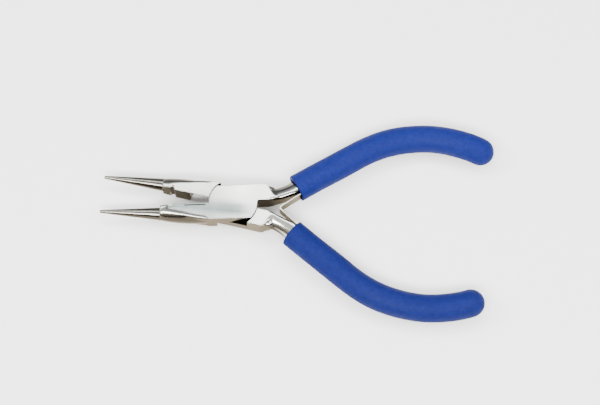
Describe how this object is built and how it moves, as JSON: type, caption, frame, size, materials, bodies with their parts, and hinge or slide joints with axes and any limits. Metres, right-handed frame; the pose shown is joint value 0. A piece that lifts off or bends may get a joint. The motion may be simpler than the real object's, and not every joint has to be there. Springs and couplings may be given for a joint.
{
  "type": "round nose pliers",
  "caption": "Spring-opened jewellery pliers with round tapered jaws, a crimping notch, a side cutter and bowed cushion grips.",
  "frame": {"origin": "on the pivot axis, in the rear face of the joint", "axes": "+X from the pivot towards the handles, +Y towards the handle of the front half, +Z out of the front face of the joint"},
  "size_m": [0.1368, 0.073, 0.0098],
  "materials": {
    "forging": "satin polished nickel-plated steel",
    "rivet": "ground flush and satin polished",
    "spring": "bright rolled spring steel",
    "grip": "matte finely grained cushion grip"
  },
  "bodies": {
    "front": {"front_half": "forging", "pivot_rivet": "rivet", "return_spring": "spring", "upper_grip": "grip"},
    "rear": {"rear_half": "forging", "lower_grip": "grip"}
  },
  "joints": [
    {"name": "pivot", "type": "hinge", "parent": "front", "child": "rear", "pos_m": [0, 0, 0], "axis": [0, 0, 1], "range_deg": [-8, 14.6], "stiffness_Nm_per_rad": 0.3, "deforming": ["return_spring"]}
  ]
}
